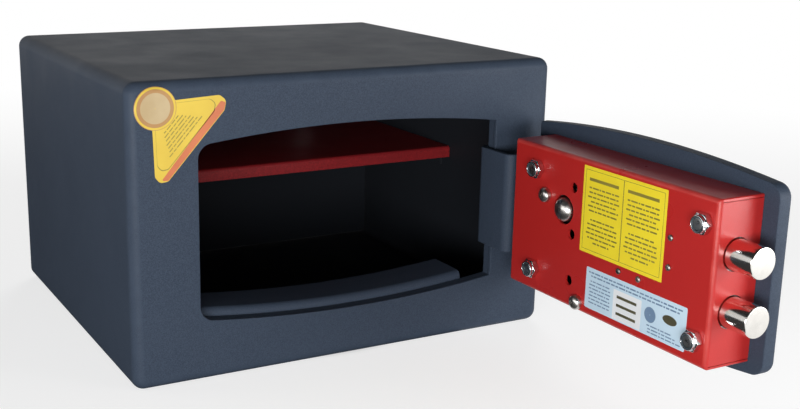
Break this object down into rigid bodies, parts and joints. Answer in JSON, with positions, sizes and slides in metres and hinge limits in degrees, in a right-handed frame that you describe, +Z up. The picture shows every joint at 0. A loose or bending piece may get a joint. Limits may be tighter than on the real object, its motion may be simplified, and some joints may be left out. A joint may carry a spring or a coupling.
{
  "type": "small steel safe",
  "caption": "Free-standing steel safe with a bowed door on a goose-neck hinge arm, folded lock cover, sliding round bolts, knob, combination dial and a half-depth shelf.",
  "frame": {"origin": "centre of the cabinet's base, on the surface that it stands on", "axes": "+Z up, +Y to the cabinet's back, +X to the right as seen from the front, where the door is hinged"},
  "size_m": [0.3699, 0.567, 0.22],
  "materials": {
    "slate_paint": "fine-textured slate grey powder coat",
    "red_paint": "satin red paint",
    "dark_red_paint": "fine-speckled dark red paint",
    "bright_plate": "bright plated steel",
    "zinc_steel": "dull zinc-plated steel",
    "brass": "machined brass",
    "black_plastic": "black moulded dial"
  },
  "bodies": {
    "cabinet": {"cabinet_shell": "slate_paint", "front_frame": "slate_paint", "back_panel": "slate_paint", "door_sill": "slate_paint", "strike_plate": "zinc_steel", "shelf": "dark_red_paint", "shelf_bracket_left": "slate_paint", "shelf_bracket_right": "slate_paint", "hinge_lug_lower": "slate_paint", "hinge_lug_upper": "slate_paint", "hinge_pin": "zinc_steel", "hinge_clip": "zinc_steel", "hinge_washer": "brass"},
    "door": {"door_plate": "slate_paint", "hinge_arm": "slate_paint", "lock_cover": "red_paint", "cover_stud_1": "zinc_steel", "cover_stud_2": "zinc_steel", "cover_stud_3": "zinc_steel", "cover_stud_4": "zinc_steel", "cover_nut_1": "bright_plate", "cover_nut_2": "bright_plate", "cover_nut_3": "bright_plate", "cover_nut_4": "bright_plate", "cover_pillar_1": "zinc_steel", "cover_pillar_2": "zinc_steel", "cover_screw_1": "bright_plate", "cover_screw_2": "bright_plate", "wheel_shield": "zinc_steel", "shield_screw_1": "zinc_steel", "shield_screw_2": "zinc_steel", "shield_screw_3": "zinc_steel", "shield_screw_4": "zinc_steel", "drill_plate": "zinc_steel", "bolt_guide": "zinc_steel", "guide_stud_1": "zinc_steel", "guide_stud_2": "zinc_steel", "knob_rosette": "bright_plate", "knob_bush": "brass", "dial_ring": "zinc_steel", "wheel_post": "brass", "wheel_spacer_1": "zinc_steel", "wheel_spacer_2": "zinc_steel", "wheel_retainer": "zinc_steel"},
    "bolt_carriage": {"bolt_lower": "bright_plate", "bolt_upper": "bright_plate", "bolt_bar": "zinc_steel", "carriage_plate": "zinc_steel", "fence": "brass"},
    "knob_set": {"knob": "bright_plate", "knob_spindle": "zinc_steel", "crank": "zinc_steel", "spindle_cap": "bright_plate"},
    "dial_set": {"dial": "black_plastic", "dial_spindle": "zinc_steel", "drive_disc": "brass"},
    "combination_wheel_1": {"wheel_1": "brass"},
    "combination_wheel_2": {"wheel_2": "brass"},
    "combination_wheel_3": {"wheel_3": "brass"}
  },
  "joints": [
    {"name": "door_swing", "type": "hinge", "parent": "cabinet", "child": "door", "pos_m": [0.15, -0.134, 0.112], "axis": [0, 0, 1], "range_deg": [-90, 0]},
    {"name": "knob_turn", "type": "hinge", "parent": "door", "child": "knob_set", "pos_m": [0.15, -0.246, 0.1245], "axis": [1, 0, 0], "range_deg": [0, 60]},
    {"name": "bolt_slide", "type": "slide", "parent": "door", "child": "bolt_carriage", "axis": [0, 1, 0], "range_m": [0, 0.012]},
    {"name": "dial_turn", "type": "hinge", "parent": "door", "child": "dial_set", "pos_m": [0.15, -0.311, 0.1245], "axis": [1, 0, 0], "continuous": true},
    {"name": "wheel_1_turn", "type": "hinge", "parent": "door", "child": "combination_wheel_1", "pos_m": [0.15, -0.311, 0.1245], "axis": [1, 0, 0], "range_deg": [-360, 360]},
    {"name": "wheel_2_turn", "type": "hinge", "parent": "door", "child": "combination_wheel_2", "pos_m": [0.15, -0.311, 0.1245], "axis": [1, 0, 0], "range_deg": [-360, 360]},
    {"name": "wheel_3_turn", "type": "hinge", "parent": "door", "child": "combination_wheel_3", "pos_m": [0.15, -0.311, 0.1245], "axis": [1, 0, 0], "range_deg": [-360, 360]}
  ],
  "couplings": [
    {"joint": "knob_turn", "follows": "bolt_slide", "rad_per_m": 87.266}
  ]
}
